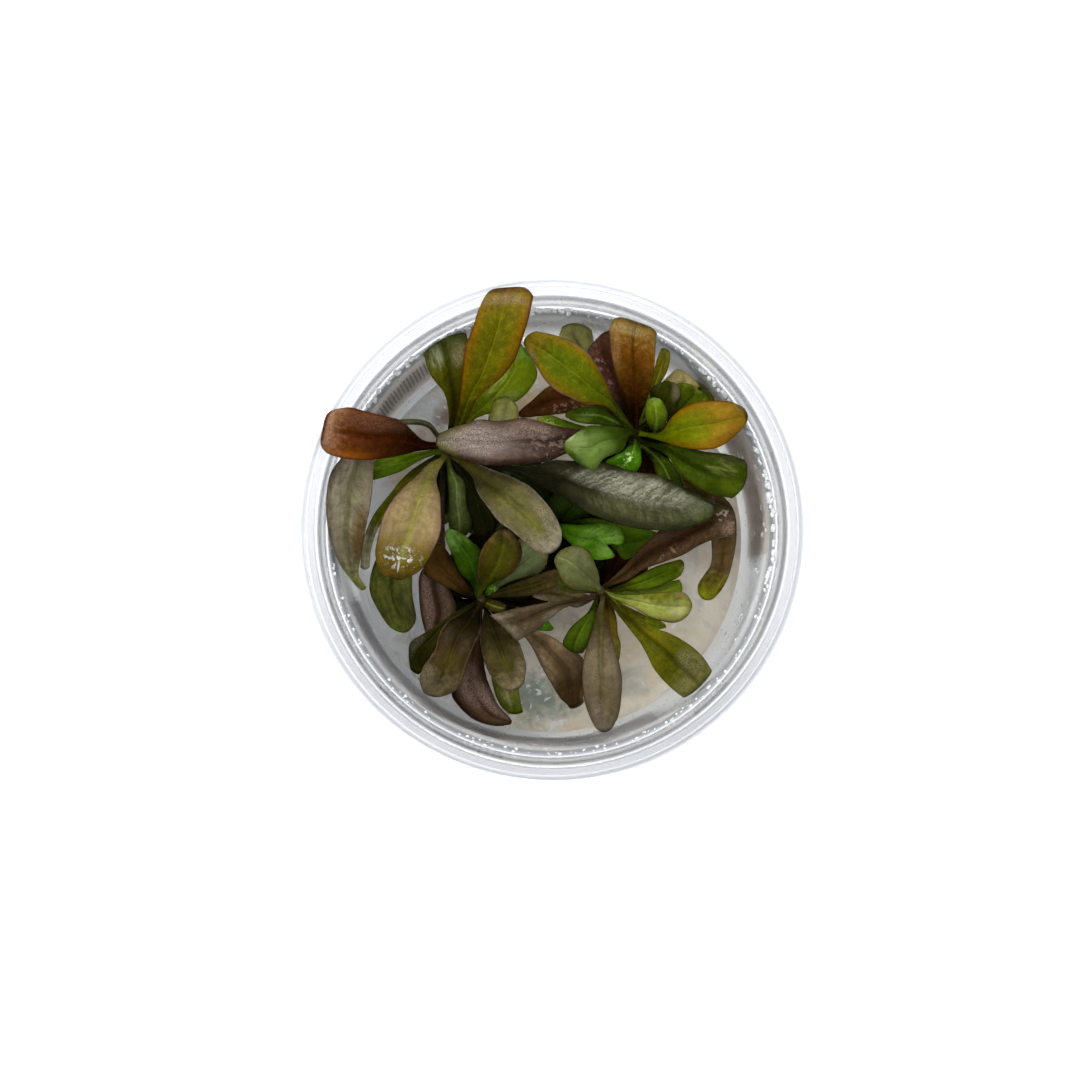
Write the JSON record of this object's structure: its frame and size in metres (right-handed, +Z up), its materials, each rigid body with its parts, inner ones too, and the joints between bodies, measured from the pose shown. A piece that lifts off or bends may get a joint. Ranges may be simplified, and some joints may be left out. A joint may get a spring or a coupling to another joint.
{
  "type": "aquarium plant clump in a tissue culture cup",
  "caption": "Red samolus parviflorus growing as spoon-leaved rosettes on a puck of nutrient gel in an open, clear round plastic cup with a wide flat rim and plain labels.",
  "frame": {"origin": "middle of the cup's underside, on the surface it stands on", "axes": "+Z up out of the cup's mouth, +Y towards the side with the tallest leaf that leans over the rim, +X towards the right-hand rosette"},
  "size_m": [0.1104, 0.1104, 0.0695],
  "materials": {
    "clear_plastic": "clear, smooth, a few drops of condensation",
    "nutrient_gel": "wet, translucent, pale beige",
    "label_paper": "plain back of a stuck-on label",
    "leaf_olive": "satin leaf, olive green with orange-brown margins",
    "leaf_green": "satin leaf, bright green",
    "leaf_dark_green": "glossy leaf, dark green",
    "leaf_red": "satin leaf, red-brown",
    "leaf_brown": "satin leaf, dark brown with a mauve sheen",
    "leaf_taupe": "satin leaf, grey-brown",
    "stem_green": "stem and young leaves, green"
  },
  "bodies": {
    "root": {"cup": "clear_plastic", "gel": "nutrient_gel", "label_upper_left": "label_paper", "label_front": "label_paper", "label_right": "label_paper", "stem_a": "stem_green", "stem_b": "stem_green", "stem_c": "stem_green", "stem_e": "stem_green", "stem_f": "stem_green", "leaf_a_top": "leaf_olive", "leaf_a_behind_top": "leaf_dark_green", "leaf_a_inner": "leaf_green", "leaf_a_left": "leaf_red", "leaf_a_centre": "leaf_taupe", "leaf_a_tan": "leaf_taupe", "leaf_a_far_left": "leaf_taupe", "leaf_a_edge_on": "leaf_dark_green", "leaf_a_under_left": "leaf_green", "leaf_a_great": "leaf_taupe", "leaf_a_hanging": "leaf_brown", "leaf_a_lowest": "leaf_dark_green", "leaf_b_long": "leaf_taupe", "leaf_b_up_left": "leaf_olive", "leaf_b_up": "leaf_red", "leaf_b_right": "leaf_olive", "leaf_b_right_lower": "leaf_dark_green", "leaf_b_down": "leaf_green", "leaf_b_rhomb": "leaf_green", "leaf_b_behind_up": "leaf_dark_green", "leaf_b_dark_back": "leaf_dark_green", "leaf_b_dead": "leaf_taupe", "leaf_b_by_wall": "leaf_dark_green", "leaf_b_slim": "leaf_olive", "leaf_b_purple": "leaf_brown", "leaf_b_pale_back": "leaf_green", "leaf_b_mauve": "leaf_brown", "leaf_b_drooping": "leaf_brown", "leaf_c_oval": "leaf_olive", "leaf_c_bright": "leaf_green", "leaf_c_down_left": "leaf_olive", "leaf_c_down": "leaf_olive", "leaf_c_purple": "leaf_brown", "leaf_c_green_low": "leaf_green", "leaf_c_right": "leaf_brown", "leaf_c_under_left": "leaf_olive", "leaf_c_far": "leaf_brown", "leaf_e_left": "leaf_taupe", "leaf_e_up_right": "leaf_brown", "leaf_e_green": "leaf_green", "leaf_e_pale": "leaf_green", "leaf_e_oval": "leaf_taupe", "leaf_e_down": "leaf_taupe", "leaf_e_down_left": "leaf_green", "leaf_e_behind_down": "leaf_brown", "leaf_e_down_right": "leaf_olive", "leaf_e_behind_right": "leaf_olive", "leaf_e_mauve": "leaf_brown"}
  },
  "joints": []
}
